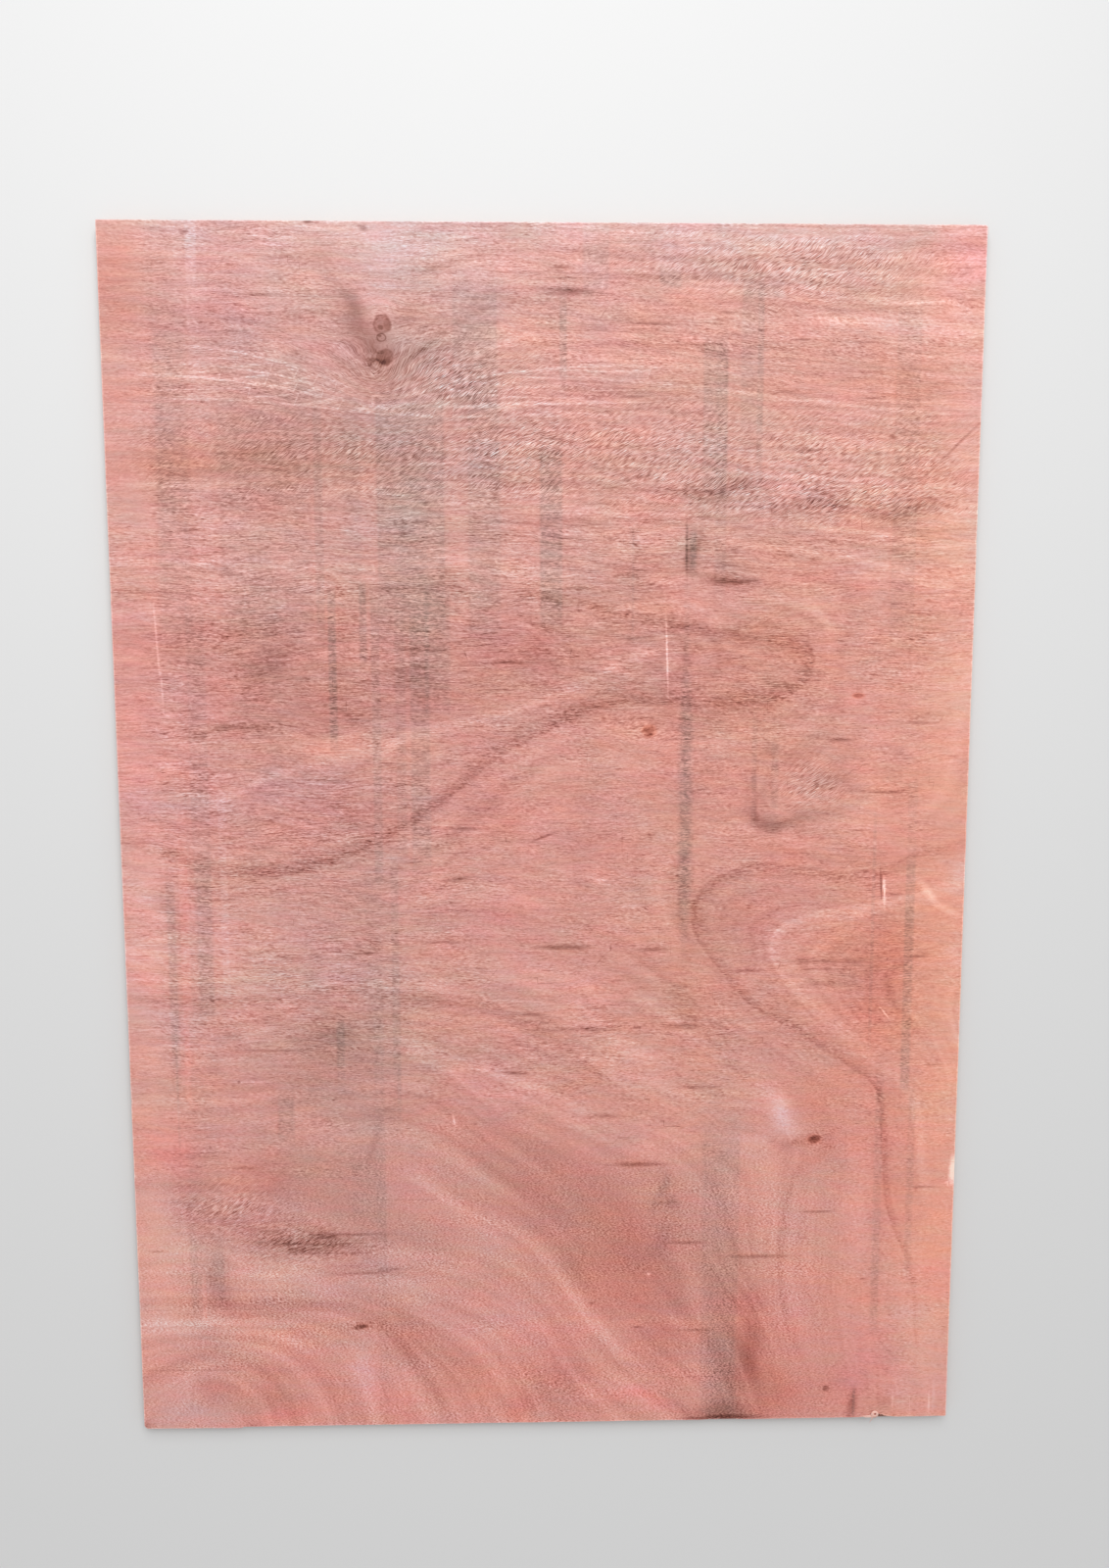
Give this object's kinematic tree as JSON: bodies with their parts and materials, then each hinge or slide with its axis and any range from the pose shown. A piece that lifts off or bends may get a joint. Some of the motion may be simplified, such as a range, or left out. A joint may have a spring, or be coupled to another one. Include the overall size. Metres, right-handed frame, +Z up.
{
  "type": "plywood sheet",
  "caption": "Flat rectangular sheet of hardwood-faced plywood with sawn edges, worn corners and a chipped foot, lying with its good face up.",
  "frame": {"origin": "middle of the underside, halfway along both sides of the sheet's outline", "axes": "+X along the face grain and the short side, +Y along the long side towards the head, +Z up out of the good face"},
  "size_m": [1.22, 1.75, 0.018],
  "materials": {
    "plywood": "matte"
  },
  "bodies": {
    "root": {"plywood_sheet": "plywood"}
  },
  "joints": []
}
